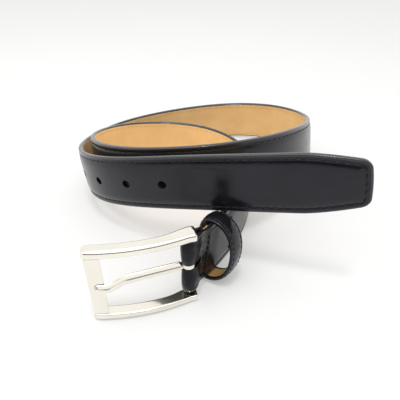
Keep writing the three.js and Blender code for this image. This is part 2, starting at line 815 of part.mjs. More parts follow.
function prongShankGeometry() {
  const end = FRONT_BAR_START + PRONG_REACH;
  const stations = [WRAP_RADIUS + 0.6, JOGGLE_START / 2, JOGGLE_START];
  for (let i = 1; i <= 6; i += 1) stations.push(JOGGLE_START + (PRONG_JOGGLE_LENGTH * i) / 6);
  stations.push(FRONT_BAR_START + 0.6, end - 1.6, end - 0.6, end);
  const rings = stations.map((x) => {
    const taper = smooth((x - end + 1.6) / 1.6);
    const half = (PRONG_WIDTH / 2) * (1 - 0.5 * taper);
    const low = prongUnderside(x) + 0.3 * taper;
    const high = prongUnderside(x) + PRONG_THICKNESS - 1.2 * taper;
    const shoulder = low + 0.45 * (high - low);
    return [
      [low, -half],
      [low, half],
      [shoulder, half],
      [high, half * 0.25],
      [high, -half * 0.25],
      [shoulder, -half],
    ].map(([y, z]) => new THREE.Vector3(x, y, z));
  });
  return loft(rings);
}

function prongGeometry() {
  const eye = roundBar(WRAP_RADIUS + PRONG_EYE_WALL, PRONG_WIDTH);
  const bore = roundBar(WRAP_RADIUS, PRONG_WIDTH + 4);
  return subtractAll(addAll([eye, prongShankGeometry()]), [bore]);
}

// ---------------------------------------------------------------- assembly

const BLACK_LEATHER = { color: 0x15161a, roughness: 0.3, metalness: 0 };
const TAN_LEATHER = { color: 0xc79a5b, roughness: 0.6, metalness: 0 };
const FIBREBOARD = { color: 0x7a6a55, roughness: 0.9, metalness: 0 };
const BLACK_THREAD = { color: 0x101012, roughness: 0.6, metalness: 0 };
const TAN_THREAD = { color: 0xb58a50, roughness: 0.7, metalness: 0 };
const NICKEL = { color: 0xd9d7d0, roughness: 0.15, metalness: 1 };

function piece(name, geometry, finish) {
  const mesh = new THREE.Mesh(geometry, new THREE.MeshStandardMaterial(finish));
  mesh.name = name;
  return mesh;
}

function strapGroup() {
  const group = new THREE.Group();
  group.add(piece('cover_leather', coverGeometry(), BLACK_LEATHER));
  group.add(piece('filler_core', fillerGeometry(), FIBREBOARD));
  group.add(piece('lining_leather', liningGeometry(), TAN_LEATHER));
  group.add(piece('face_seam', faceSeamGeometry(), BLACK_THREAD));
  group.add(piece('lining_seam', liningSeamGeometry(), TAN_THREAD));
  CROSS_ROW_PLACES.forEach((s, i) => {
    group.add(piece(`fold_seam_face_${i + 1}`, crossRowFaceGeometry(s), BLACK_THREAD));
    group.add(piece(`fold_seam_back_${i + 1}`, crossRowBackGeometry(s), BLACK_THREAD));
  });
  return group;
}

function keeperGroup() {
  const group = new THREE.Group();
  group.add(piece('keeper_cover', keeperCoverGeometry(), BLACK_LEATHER));
  group.add(piece('keeper_lining', keeperLiningGeometry(), TAN_LEATHER));
  group.add(piece('keeper_seam_buckle_side', keeperThreadGeometry(-1), BLACK_THREAD));
  group.add(piece('keeper_seam_tip_side', keeperThreadGeometry(1), BLACK_THREAD));
  group.add(piece('keeper_staple', stapleGeometry(), NICKEL));
  return group;
}

// The buckle turns about the pin, which stands upright at the strap's start.
function buckleGroup() {
  const group = new THREE.Group();
  const { along } = strapFrame(0);
  const heading = Math.atan2(along.y, along.x) + Math.PI + BUCKLE_SWING;
  const pinCentre = place(0, 0, PIN_N);
  group.add(piece('buckle_frame', buckleFrameGeometry(), NICKEL));
  group.add(piece('pivot_pin', pinGeometry(), NICKEL));
  group.add(piece('prong', prongGeometry(), NICKEL));
  group.rotation.z = heading;
  group.position.copy(pinCentre);
  return group;
}

const belt = new THREE.Group();
belt.add(strapGroup(), keeperGroup(), buckleGroup());

// Move the belt so that its box stands centred on the origin.
belt.updateMatrixWorld(true);
const box = new THREE.Box3().setFromObject(belt, true);
belt.position.set(-(box.min.x + box.max.x) / 2, -(box.min.y + box.max.y) / 2, -box.min.z);

export default belt;
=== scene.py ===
"""Looks of a coiled leather dress belt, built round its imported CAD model. Metres, +Z up.

Belt coordinates: s is the distance from the buckle pin towards the tip, v runs across the strap
(0 at its middle, positive up), and n is the distance out from the lining's bare face.
"""

import math

import bmesh
import bpy
import numpy as np
from mathutils import Matrix, Vector


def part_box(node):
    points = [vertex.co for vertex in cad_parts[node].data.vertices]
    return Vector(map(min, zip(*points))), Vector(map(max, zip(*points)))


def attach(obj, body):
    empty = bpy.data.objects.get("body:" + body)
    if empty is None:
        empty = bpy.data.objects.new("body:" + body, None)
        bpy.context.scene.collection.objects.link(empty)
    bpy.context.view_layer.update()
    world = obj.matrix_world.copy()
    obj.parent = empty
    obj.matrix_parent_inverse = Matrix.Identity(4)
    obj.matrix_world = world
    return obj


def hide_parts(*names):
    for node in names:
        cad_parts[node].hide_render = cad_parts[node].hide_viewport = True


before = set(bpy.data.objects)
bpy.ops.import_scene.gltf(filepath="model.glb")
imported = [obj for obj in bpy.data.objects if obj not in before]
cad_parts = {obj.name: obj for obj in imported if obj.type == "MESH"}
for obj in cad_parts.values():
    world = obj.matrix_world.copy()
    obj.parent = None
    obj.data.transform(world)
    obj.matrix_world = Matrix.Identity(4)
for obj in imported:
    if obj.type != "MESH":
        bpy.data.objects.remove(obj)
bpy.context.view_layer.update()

# Strap
STRAP_WIDTH = 0.035
STRAP_LENGTH = 1.0235
LINING_THICKNESS = 0.0011
COVER_THICKNESS = 0.002
CROWN = 0.0009
LAYER_GAP = 0.0001
TIP_WIDTH = 0.0245
TIP_TAPER = 0.034
TIP_CORNER = 0.0042
TIP_BULGE = 0.0007
TIP_REGION = 0.020
STATION_STEP = 0.0016
PLATEAU_INSET = 0.009
SHOULDER_INSET = 0.0036
PLATEAU_SHARE = 0.93

# Holes, counted from the tip
HOLE_RADIUS = 0.00245
LINING_HOLE_RADIUS = 0.0034
HOLE_COUNT = 5
HOLE_PITCH = 0.025
FIRST_HOLE_FROM_TIP = 0.1115

# Fold round the buckle pin
FOLD_NARROWING = 0.0005
FOLD_LENGTH = 0.0055
FOLD_THICKNESS = 0.0017
FOLD_PUFF = 0.0015
FOLD_SPREAD = 0.0013
FLARE_LENGTH = 0.0075
FULL_WIDTH_AT = 0.014
TURNBACK_LENGTH = 0.045
TURNBACK_INSET = 0.0012
SLOT_HALF = 0.0017
SLOT_END = 0.0078

# Stitching
STITCH_INSET = 0.003
STITCH_START = 0.013
STITCH_PITCH = 0.0045
STITCH_LENGTH = 0.0036
STITCH_RADIUS = 0.00034
GROOVE_DEPTH = 0.00034
CROSS_ROW_PLACES = (0.011, 0.039)
CROSS_ROW_MARGIN = 0.004
CROSS_PITCH = 0.0035
CROSS_LENGTH = 0.0028
LINING_STITCH_RADIUS = 0.00026

# Keeper
KEEPER_WIDTH = 0.0125
KEEPER_CENTRE = 0.0203
KEEPER_SIDE_CLEARANCE = 0.0005
KEEPER_ROOM = 0.0113
KEEPER_BACK_CLEARANCE = 0.0024
KEEPER_LINING_THICKNESS = 0.0006
KEEPER_STITCH_INSET = 0.0016
KEEPER_STITCH_PITCH = 0.0033

# Buckle
BUCKLE_LENGTH = 0.0526
BUCKLE_DEPTH = 0.0065
BUCKLE_BOW = 0.0033
RAIL_HEIGHT = 0.0046
RAIL_RIDGE = 0.004
RAIL_TAIL = 0.0037
RAIL_CLEARANCE = 0.0025
TAIL_ROUNDING = 0.0012
CORNER_ROUNDING = 0.003
LUG_DEPTH = 0.0016
LUG_LENGTH = 0.014
FRONT_BAR_WIDTH = 0.0082
FRONT_BAR_DEPTH = 0.0038
FRONT_BAR_RECESS = 0.0007
BUCKLE_SWING = math.radians(-39.8)
PIN_DIAMETER = 0.0032
PIN_SETBACK = 0.0027
RUNNING_GAP = 0.0003

# Prong
PRONG_WIDTH = 0.0046
PRONG_EYE_HALF = 0.0015
PRONG_RIDGE = 0.0008
PRONG_THICKNESS = 0.003
PRONG_EYE_WALL = 0.0016
PRONG_JOGGLE_LENGTH = 0.011
PRONG_JOGGLE_SETBACK = 0.0013
PRONG_SHANK_RISE = 0.0034
PRONG_REACH = 0.0044
PRONG_PROUD = 0.0021
PRONG_TIP_LENGTH = 0.0018
PRONG_NECK_START = 0.0036
PRONG_NECK_LENGTH = 0.0014
PRONG_NECK_DETAIL_END = 0.0052
NOTCH_CLEARANCE = 0.0004

# Derived sizes, as in the CAD
COVER_BASE = LINING_THICKNESS + LAYER_GAP
FACE = COVER_BASE + COVER_THICKNESS
FOLD_WIDTH = STRAP_WIDTH - 2 * FOLD_NARROWING
WRAP_RADIUS = PIN_DIAMETER / 2 + RUNNING_GAP
PIN_N = (COVER_BASE - LAYER_GAP) / 2
TURNBACK_FACE = -LAYER_GAP - FOLD_THICKNESS
GAP_HALF = FOLD_WIDTH / 2 + RAIL_CLEARANCE
HEM_RISE = GAP_HALF + RAIL_HEIGHT - STRAP_WIDTH / 2
OVER = STRAP_WIDTH + 0.001
FRONT_BAR_START = BUCKLE_LENGTH - FRONT_BAR_WIDTH
JOGGLE_END = FRONT_BAR_START - PRONG_JOGGLE_SETBACK
JOGGLE_START = JOGGLE_END - PRONG_JOGGLE_LENGTH

# Poles of a uniform cubic B-spline for the strap's lower edge, as in the CAD:
# x, y, rise above the surface, and lean in degrees. Most are rounded from a least-squares fit of
# the strap's edges and the camera to the photograph; the rest were moved or added.
ROUTE = np.array([
    (-0.0295, -0.115, 0, 0),
    (-0.0175, -0.102, 0.55 * HEM_RISE, 0),
    (-0.0064, -0.088, 1.225 * HEM_RISE, 0),
    (0.004, -0.073, 0.55 * HEM_RISE, 0),
    (0.0135, -0.057, 0.3 * HEM_RISE, 0),
    (0.022, -0.0405, 0.05 * HEM_RISE, 0),
    (0.030, -0.022, 0, -1),
    (0.037, 0.010, 0, -1),
    (0.030, 0.042, 0, -1),
    (0.007, 0.067, 0, -1),
    (-0.024, 0.077, 0, -1),
    (-0.055, 0.070, 0.06 * OVER, 0),
    (-0.073, 0.046, 0.21 * OVER, 1),
    (-0.076, 0.015, 0.43 * OVER, 2),
    (-0.061, -0.014, 0.65 * OVER, 3),
    (-0.0335, -0.034, 0.86 * OVER, 2),
    (0.001, -0.043, 1.03 * OVER, 0),
    (0.034, -0.034, 1.03 * OVER, -2),
    (0.061, -0.010, 0.86 * OVER, -6),
    (0.081, 0.021, 0.61 * OVER, -9),
    (0.091, 0.056, 0.36 * OVER, -8),
    (0.086, 0.090, 0.19 * OVER, -7),
    (0.065, 0.116, 0.08 * OVER, -7),
    (0.031, 0.125, 0.02 * OVER, -7),
    (-0.006, 0.117, 0, -6),
    (-0.042, 0.099, 0, -4),
    (-0.070, 0.073, 0.03 * OVER, 0),
    (-0.085, 0.040, 0.1 * OVER, 2),
    (-0.082, 0.004, 0.29 * OVER, 4),
    (-0.061, -0.025, 0.57 * OVER, 5),
    (-0.029, -0.043, 0.84 * OVER, 2.5),
    (0.005, -0.055, 1.04 * OVER, 0),
    (0.040, -0.067, 1.23 * OVER, 0),
    (0.075, -0.079, 1.44 * OVER, 0),
    (0.110, -0.088, 1.63 * OVER, 0),
    (0.145, -0.095, 1.82 * OVER, 0),
])
PIN_POLE = 2


# ---------------------------------------------------------------- route

def blend_poles(u):
    """The route's x, y, rise and lean at parameter u."""
    u = np.asarray(u, float)
    span = np.clip(np.floor(u).astype(int), 0, len(ROUTE) - 4)
    t = u - span
    weights = np.stack([
        (1 - t) ** 3 / 6,
        (3 * t**3 - 6 * t**2 + 4) / 6,
        (-3 * t**3 + 3 * t**2 + 3 * t + 1) / 6,
        t**3 / 6,
    ], axis=-1)
    poles = ROUTE[span[..., None] + np.arange(4)]
    return (weights[..., None] * poles).sum(axis=-2)


ROUTE_U = np.linspace(PIN_POLE - 1, len(ROUTE) - 3, (len(ROUTE) - 2 - PIN_POLE) * 40 + 1)
ROUTE_STEPS = np.linalg.norm(np.diff(blend_poles(ROUTE_U)[:, :3], axis=0), axis=1)
ROUTE_S = np.concatenate([[0], np.cumsum(ROUTE_STEPS)])


def unit(a):
    return a / np.linalg.norm(a, axis=-1, keepdims=True)


def strap_frame(s):
    """Middle line and the three directions at distances s. Outside the route it goes on straight."""
    s = np.asarray(s, float)
    inside = np.clip(s, 0, ROUTE_S[-1])
    u = np.interp(inside, ROUTE_S, ROUTE_U)
    here = blend_poles(u)
    tiny = 0.01
    low = blend_poles(np.maximum(u - tiny, 0))
    high = blend_poles(np.minimum(u + tiny, len(ROUTE) - 3))
    along = unit((high - low)[..., :3])
    up = unit(np.array([0, 0, 1.0]) - along * along[..., 2:3])
    out = np.cross(along, up)
    lean = np.radians(here[..., 3:4])
    across = up * np.cos(lean) + out * np.sin(lean)
    outward = out * np.cos(lean) - up * np.sin(lean)
    middle = here[..., :3] + across * STRAP_WIDTH / 2 + along * (s - inside)[..., None]
    return middle + OFFSET, along, across, outward


def place(s, v, n):
    """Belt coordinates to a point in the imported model's frame."""
    s, v, n = np.broadcast_arrays(*(np.asarray(a, float) for a in (s, v, n)))
    middle, _, across, outward = strap_frame(s)
    return middle + across * v[..., None] + outward * n[..., None]


# The route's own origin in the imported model's frame, found from the pin.
OFFSET = np.zeros(3)
PIN_LOW, PIN_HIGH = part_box("pivot_pin")
PIN_CENTRE = np.array((PIN_LOW + PIN_HIGH) / 2)
OFFSET = PIN_CENTRE - place(0, 0, PIN_N)


def smooth(x):
    t = np.clip(x, 0, 1)
    return t * t * (3 - 2 * t)


# ---------------------------------------------------------------- mesh helpers

def add_piece(name, bm, body, nodes, materials, sharp=35):
    """Make an object of bm, riding on body and standing for these CAD nodes."""
    mesh = bpy.data.meshes.new(name)
    bmesh.ops.recalc_face_normals(bm, faces=bm.faces)
    bm.to_mesh(mesh)
    bm.free()
    for material in materials:
        mesh.materials.append(material)
    mesh.shade_smooth()
    mesh.set_sharp_from_angle(angle=math.radians(sharp))
    piece = bpy.data.objects.new(name, mesh)
    bpy.context.scene.collection.objects.link(piece)
    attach(piece, body)
    if nodes:
        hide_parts(*nodes)
    return piece


def grid_bmesh(points, loop_rows=False, loop_columns=False):
    """Quads over a grid of points, rows by columns, closed in either direction if asked."""
    rows, columns = points.shape[:2]
    bm = bmesh.new()
    verts = [[bm.verts.new(p) for p in row] for row in points]
    for i in range(rows if loop_rows else rows - 1):
        for j in range(columns if loop_columns else columns - 1):
            k, m = (i + 1) % rows, (j + 1) % columns
            bm.faces.new((verts[i][j], verts[k][j], verts[k][m], verts[i][m]))
    return bm, verts


def loft(rings):
    """Closed body through equal closed rings, capped at both ends."""
    bm, verts = grid_bmesh(np.asarray(rings), loop_columns=True)
    bm.faces.new(verts[0])
    bm.faces.new(verts[-1])
    return bm


SUPPORT_SHARE = 0.06


def rounded(polygon, cut, steps=4):
    """Polygon with each corner turned into a short curve that starts `cut` before it. A support
    point on either side of each curve keeps the flat sides' shading flat."""
    points = []
    count = len(polygon)
    cuts = cut if hasattr(cut, "__len__") else [cut] * count
    for i, corner in enumerate(polygon):
        before = np.subtract(polygon[i - 1], corner)
        after = np.subtract(polygon[(i + 1) % count], corner)
        reach = min(cuts[i], 0.49 * np.linalg.norm(before), 0.49 * np.linalg.norm(after))
        start = corner + unit(before) * reach
        end = corner + unit(after) * reach
        points.append(start + (before - unit(before) * reach) * SUPPORT_SHARE)
        for t in np.linspace(0, 1, steps):
            points.append((1 - t) ** 2 * start + 2 * t * (1 - t) * np.asarray(corner) + t * t * end)
        points.append(end + (after - unit(after) * reach) * SUPPORT_SHARE)
    return np.array(points)


def apply_boolean(target, cutters, operation="DIFFERENCE"):
    """Combine bmesh `target` with each bmesh in cutters and return the result."""
    holder = bpy.data.objects.new("work", bpy.data.meshes.new("work"))
    bpy.context.scene.collection.objects.link(holder)
    bmesh.ops.recalc_face_normals(target, faces=target.faces)
    target.to_mesh(holder.data)
    tools = []
    for cutter in cutters:
        tool = bpy.data.objects.new("tool", bpy.data.meshes.new("tool"))
        bpy.context.scene.collection.objects.link(tool)
        bmesh.ops.recalc_face_normals(cutter, faces=cutter.faces)
        cutter.to_mesh(tool.data)
        cutter.free()
        modifier = holder.modifiers.new("cut", "BOOLEAN")
        modifier.operation = operation
        modifier.solver = "EXACT"
        modifier.object = tool
        tools.append(tool)
    graph = bpy.context.evaluated_depsgraph_get()
    graph.update()
    result = bmesh.new()
    result.from_object(holder, graph)
    target.free()
    for obj in [holder, *tools]:
        mesh = obj.data
        bpy.data.objects.remove(obj)
        bpy.data.meshes.remove(mesh)
    return result


# ---------------------------------------------------------------- strap outline

def half_width(s):
    widening = smooth((s - FOLD_LENGTH) / (FULL_WIDTH_AT - FOLD_LENGTH))
    full = FOLD_WIDTH / 2 + FOLD_NARROWING * widening
    taper = np.clip(1 - (STRAP_LENGTH - s) / TIP_TAPER, 0, 1) ** 1.5
    return full - (STRAP_WIDTH - TIP_WIDTH) / 2 * taper


def turnback_half(s):
    widening = smooth((s - FOLD_LENGTH) / (FULL_WIDTH_AT - FOLD_LENGTH))
    return FOLD_WIDTH / 2 + (FOLD_NARROWING - TURNBACK_INSET) * widening


def main_stations(start):
    end = STRAP_LENGTH - TIP_REGION
    return np.linspace(start, end, int(round((end - start) / STATION_STEP)) + 1)


def tip_loop(inset, share):
    """s and v round the tip, `inset` in from the outline, from the lower side to the upper side.
    share draws the loop in towards the middle line."""
    radius = max(TIP_CORNER - inset, 0.0009)
    corner = STRAP_LENGTH - inset - radius - TIP_BULGE
    reach = half_width(corner) - inset
    turn = np.radians(np.linspace(0, 90, 10))[1:]
    arc = 1 - radius / reach * (1 - np.cos(turn))
    end = np.linspace(arc[-1], 0, 8)[1:]
    side = np.linspace(STRAP_LENGTH - TIP_REGION, corner, 12)[1:]
    s = np.concatenate([
        side,
        corner + radius * np.sin(turn) + TIP_BULGE * (1 - arc**2),
        corner + radius + TIP_BULGE * (1 - end**2),
    ])
    b = np.concatenate([np.ones(len(side)), arc, end])
    v = (half_width(s) - inset) * b
    spine_end = STRAP_LENGTH - PLATEAU_INSET - 0.003
    s = s + (np.minimum(s, spine_end) - s) * share
    v = v * (1 - share)
    return np.concatenate([s, s[-2::-1]]), np.concatenate([-v, v[-2::-1]])


def strip_bmesh(path, rows, heights):
    """Closed strip along path, round the tip and back. path has arrays s, n, ds, dn and half for one
    side; rows are (inset, share); heights(row, s, path) gives how far out each point of a row is."""
    points = []
    for row, (inset, share) in enumerate(rows):
        side_v = (path["half"] - inset) * (1 - share)
        side_k = heights(row, path["s"], path)
        side_s = path["s"] + side_k * path["ds"]
        side_n = path["n"] + side_k * path["dn"]
        tip_s, tip_v = tip_loop(inset, share)
        tip_n = path["n"][-1] + heights(row, tip_s, None)
        points.append(place(
            np.concatenate([side_s, tip_s, side_s[::-1]]),
            np.concatenate([-side_v, tip_v, side_v[::-1]]),
            np.concatenate([side_n, tip_n, side_n[::-1]]),
        ))
    bm, verts = grid_bmesh(np.array(points))
    bm.faces.new([row[0] for row in verts] + [row[-1] for row in reversed(verts)])
    return bm, verts


# ---------------------------------------------------------------- cover

# Rows of the cover from its underside's middle, round the edge, to the face's middle:
# inset, share, and height in the fold and on the main strap. None: set by the face's shape.
UNDERSIDE_ROWS = [
    (PLATEAU_INSET, 1, 0, 0),
    (PLATEAU_INSET, 0, 0, 0),
    (0.0014, 0, 0, 0),
    (0.0011, 0, 0.00002, -0.0008),
    (0.0009, 0, 0.00005, -0.00104),
    (0.0006, 0, 0.0001, -0.00108),
    (0.0003, 0, 0.00022, -0.00085),
    (0.0001, 0, 0.0004, -0.0005),
    (0, 0, 0.0006, -0.0001),
]
EDGE_ROWS = [(0, 0, -0.0008), (0.00009, 0, -0.0004), (0.00028, 0, -0.00014), (0.0006, 0, -0.00002)]
FACE_INSETS = [0.0012, 0.0018, 0.0022, 0.00245, 0.0027, 0.003, 0.0033, 0.0036, 0.0039, 0.0044,
               0.0051, 0.0058, 0.0066, 0.0075, PLATEAU_INSET]
PLATEAU_SHARES = [0.25, 0.5, 0.75, 1]
COVER_ROWS = (
    [(inset, share) for inset, share, _, _ in UNDERSIDE_ROWS]
    + [(inset, share) for inset, share, _ in EDGE_ROWS]
    + [(inset, 0) for inset in FACE_INSETS]
    + [(PLATEAU_INSET, share) for share in PLATEAU_SHARES]
)
FOLD_COLUMNS = 66
FIRST_EDGE_ROW = 2
LAST_EDGE_ROW = len(UNDERSIDE_ROWS) + len(EDGE_ROWS) - 1


def groove(inset):
    t = np.clip(abs(inset - STITCH_INSET) / 0.0006, 0, 1)
    return -GROOVE_DEPTH * (1 - smooth(t))


def pad_height(inset, share):
    t = np.clip((inset - SHOULDER_INSET) / (PLATEAU_INSET - SHOULDER_INSET), 0, 1)
    rise = PLATEAU_SHARE * (1 - (1 - t) ** 2.4)
    dome = (1 - PLATEAU_SHARE) * (1 - (1 - share) ** 2) if share else 0
    return CROWN * (rise + dome)


def is_main(s, path):
    return np.ones_like(s) if path is None else path["main"]


def cover_heights(row, s, path):
    """Height over the cover's underside for one row of COVER_ROWS."""
    main = is_main(s, path)
    thick = FOLD_THICKNESS + (COVER_THICKNESS - FOLD_THICKNESS) * main
    puff = 0 * s if path is None else path["puff"]
    inset, share = COVER_ROWS[row]
    if row < len(UNDERSIDE_ROWS):
        _, _, fold_k, main_k = UNDERSIDE_ROWS[row]
        return fold_k + (main_k - fold_k) * smooth((main - 0.3) / 0.7)
    half = FOLD_WIDTH / 2
    lobe_v = (half - inset) * (1 - share)
    lobe = np.clip(1 - ((lobe_v - half / 2 - SLOT_HALF / 2) / (half / 2 - SLOT_HALF / 2)) ** 2, 0, 1) ** 0.6
    crease = 0.00022 * np.sin(800 * lobe_v + 2.0) * np.sin(700 * s + 1.0)
    extra = puff * (FOLD_PUFF * lobe + crease)
    if row <= LAST_EDGE_ROW:
        return thick + EDGE_ROWS[row - len(UNDERSIDE_ROWS)][2] + extra
    stitched = smooth((s - 0.011) / 0.002) * main
    padded = smooth((s - FULL_WIDTH_AT + 0.002) / 0.010) * main
    return thick + groove(inset) * stitched + pad_height(inset, share) * padded + extra


TURNBACK_STATIONS = 26
FLARE_STATIONS = 6
WRAP_STATIONS = 25


def cover_path():
    """The cover's underside from the turnback's end, round the pin, to the start of the tip."""
    back_s = np.linspace(TURNBACK_LENGTH, FLARE_LENGTH, TURNBACK_STATIONS)
    flare_t = np.linspace(1, 0, FLARE_STATIONS + 2)[1:-1]
    angles = -np.pi / 2 - np.pi * np.linspace(0, 1, WRAP_STATIONS)
    main_s = main_stations(FLARE_LENGTH)
    ones = np.ones
    wrap_low, wrap_high = PIN_N - WRAP_RADIUS, PIN_N + WRAP_RADIUS
    flare_low = wrap_low + (-LAYER_GAP - wrap_low) * smooth(flare_t)
    flare_high = wrap_high + (COVER_BASE - wrap_high) * smooth(flare_t[::-1])
    s = np.concatenate([
        back_s, FLARE_LENGTH * flare_t, WRAP_RADIUS * np.cos(angles), FLARE_LENGTH * flare_t[::-1], main_s,
    ])
    n = np.concatenate([
        -LAYER_GAP * ones(TURNBACK_STATIONS), flare_low, PIN_N + WRAP_RADIUS * np.sin(angles), flare_high,
        COVER_BASE * ones(len(main_s)),
    ])
    ds = np.concatenate([0 * back_s, 0 * flare_t, np.cos(angles), 0 * flare_t, 0 * main_s])
    dn = np.concatenate([
        -ones(TURNBACK_STATIONS), -ones(FLARE_STATIONS), np.sin(angles), ones(FLARE_STATIONS),
        ones(len(main_s)),
    ])
    half = np.concatenate([
        turnback_half(back_s), ones(FLARE_STATIONS) * FOLD_WIDTH / 2,
        ones(WRAP_STATIONS) * FOLD_WIDTH / 2, ones(FLARE_STATIONS) * FOLD_WIDTH / 2,
        half_width(main_s),
    ])
    main = smooth((s - FLARE_LENGTH) / (FULL_WIDTH_AT - FLARE_LENGTH))
    main[: TURNBACK_STATIONS + FLARE_STATIONS] = 0
    half = half + FOLD_SPREAD * (1 - smooth((s - 0.003) / 0.007))
    puff = np.concatenate([
        0 * back_s, 0 * flare_t, smooth(np.linspace(0, 1, WRAP_STATIONS) / 0.6),
        1 - smooth((FLARE_LENGTH * flare_t[::-1] - 0.003) / 0.006),
        1 - smooth((main_s - 0.003) / 0.006),
    ])
    return {"s": s, "n": n, "ds": ds, "dn": dn, "half": half, "main": main, "puff": puff}


def hole_places():
    return [STRAP_LENGTH - FIRST_HOLE_FROM_TIP - i * HOLE_PITCH for i in range(HOLE_COUNT)]


def hole_cutters(face, base, radius):
    """Round cutters with a lip that eases the hole's edges at the face and at the base."""
    profile = [
        (base - 0.003, radius + 0.0012),
        (base, radius + 0.00025),
        (base + 0.0003, radius),
        (face - 0.0006, radius),
        (face - 0.0002, radius + 0.00012),
        (face, radius + 0.0004),
        (face + 0.003, radius + 0.004),
    ]
    cutters = []
    for s in hole_places():
        middle, along, across, outward = strap_frame(s)
        turns = np.linspace(0, 2 * np.pi, 33)[:-1, None]
        rim = np.cos(turns) * along + np.sin(turns) * across
        cutters.append(loft([middle + outward * n + rim * r for n, r in profile]))
    return cutters


def slot_cutter():
    """Slot in the fold that the prong swings in."""
    middle, along, across, outward = strap_frame(0.0)
    bend = np.linspace(-np.pi / 2, np.pi / 2, 13)
    outline = [(-0.009, SLOT_HALF), (-0.009, -SLOT_HALF)]
    outline += [(SLOT_END - SLOT_HALF + SLOT_HALF * math.cos(a), SLOT_HALF * math.sin(a)) for a in bend]
    rings = []
    for n in (-0.008, 0.009):
        rings.append([middle + along * s + across * v + outward * n for s, v in outline])
    return loft(rings)


def make_cover():
    bm, verts = strip_bmesh(cover_path(), COVER_ROWS, cover_heights)
    faces_per_row = len(verts[0]) - 1
    for i, face in enumerate(bm.faces):
        row = i // faces_per_row
        column = i % faces_per_row
        in_fold = min(column, faces_per_row - 1 - column) < FOLD_COLUMNS
        face.material_index = 1 if FIRST_EDGE_ROW <= row <= LAST_EDGE_ROW else 2 if in_fold else 0
    bmesh.ops.remove_doubles(bm, verts=bm.verts, dist=2e-6)
    cutters = [*hole_cutters(FACE + CROWN, -0.001, HOLE_RADIUS), slot_cutter()]
    bm = apply_boolean(bm, cutters)
    add_piece("strap_cover", bm, "strap", ["cover_leather"],
              [BLACK_LEATHER, EDGE_PAINT, FOLD_LEATHER])


# ---------------------------------------------------------------- lining

LINING_ROWS = [
    (PLATEAU_INSET, 1, 0),
    (PLATEAU_INSET, 0.5, 0),
    (PLATEAU_INSET, 0, 0),
    (0.0034, 0, 0),
    (0.003, 0, 0.0001),
    (0.0026, 0, 0),
    (0.0016, 0, 0),
    (0.0013, 0, 0.00004),
    (0.00115, 0, 0.0002),
    (0.0011, 0, 0.0005),
    (0.0012, 0, 0.00095),
    (PLATEAU_INSET, 0, 0.00105),
    (PLATEAU_INSET, 1, 0.00105),
]


def make_lining():
    s = main_stations(0.0085)
    path = {"s": s, "n": 0 * s, "ds": 0 * s, "dn": 1 + 0 * s, "half": half_width(s)}
    rows = [(inset, share) for inset, share, _ in LINING_ROWS]
    bm, _ = strip_bmesh(path, rows, lambda row, at, _: LINING_ROWS[row][2] + 0 * at)
    bmesh.ops.remove_doubles(bm, verts=bm.verts, dist=2e-6)
    bm = apply_boolean(bm, hole_cutters(FACE + CROWN, 0, LINING_HOLE_RADIUS))
    add_piece("strap_lining", bm, "strap", ["lining_leather"], [TAN_LEATHER])


# ---------------------------------------------------------------- stitches

STITCH_RINGS = np.array([-1, -0.86, -0.55, 0, 0.55, 0.86, 1])


def bead_mesh(centres, sides, normals, radius):
    """One mesh of many short thread stitches. Each input is stitches by rings by three."""
    swell = radius * np.array([0.35, 0.8, 1, 1, 1, 0.8, 0.35])[None, :, None, None]
    turns = np.linspace(0, 2 * np.pi, 9)[:-1][None, None, :, None]
    points = centres[:, :, None] + swell * (
        np.cos(turns) * sides[:, :, None] + np.sin(turns) * normals[:, :, None]
    )
    bm = bmesh.new()
    for stitch in points:
        verts = [[bm.verts.new(p) for p in ring] for ring in stitch]
        for a, b in zip(verts, verts[1:]):
            for j in range(8):
                k = (j + 1) % 8
                bm.faces.new((a[j], a[k], b[k], b[j]))
        bm.faces.new(verts[0])
        bm.faces.new(verts[-1])
    return bm


def along_polyline(points, pitch, length):
    """Points of each stitch along a polyline in two coordinates, with the sideways direction."""
    steps = np.linalg.norm(np.diff(points, axis=0), axis=1)
    reach = np.concatenate([[0], np.cumsum(steps)])
    count = int(reach[-1] / pitch)
    spare = reach[-1] - count * pitch
    middles = spare / 2 + pitch * (np.arange(count) + 0.5)
    at = middles[:, None] + STITCH_RINGS[None] * length / 2
    a = np.interp(at, reach, points[:, 0])
    b = np.interp(at, reach, points[:, 1])
    ahead_a = np.interp(at + 1e-4, reach, points[:, 0]) - np.interp(at - 1e-4, reach, points[:, 0])
    ahead_b = np.interp(at + 1e-4, reach, points[:, 1]) - np.interp(at - 1e-4, reach, points[:, 1])
    size = np.hypot(ahead_a, ahead_b)
    slant = 0.00006 * STITCH_RINGS[None]
    side_a, side_b = -ahead_b / size, ahead_a / size
    return a + slant * side_a, b + slant * side_b, side_a, side_b


def strap_stitches(points, base, sign, pitch=STITCH_PITCH, length=STITCH_LENGTH, radius=STITCH_RADIUS):
    """Stitches along (s, v) points lying at height base, standing out to the side given by sign."""
    s, v, side_s, side_v = along_polyline(np.array(points), pitch, length)
    arch = radius * (0.55 - 1.1 * STITCH_RINGS**4)
    centres = place(s, v, base + sign * arch[None])
    _, along, across, outward = strap_frame(s)
    sides = side_s[..., None] * along + side_v[..., None] * across
    return bead_mesh(centres, sides, outward, radius)


def seam_points(start):
    s = main_stations(start)
    edge = half_width(s) - STITCH_INSET
    tip_s, tip_v = tip_loop(STITCH_INSET, 0)
    return np.stack([
        np.concatenate([s, tip_s, s[::-1]]),
        np.concatenate([-edge, tip_v, edge[::-1]]),
    ], axis=-1)


def cross_points(s):
    half = turnback_half(s) - CROSS_ROW_MARGIN
    return [(s, -half), (s, half)]


def merge(meshes):
    whole = bmesh.new()
    for bm in meshes:
        mesh = bpy.data.meshes.new("part")
        bm.to_mesh(mesh)
        bm.free()
        whole.from_mesh(mesh)
        bpy.data.meshes.remove(mesh)
    return whole


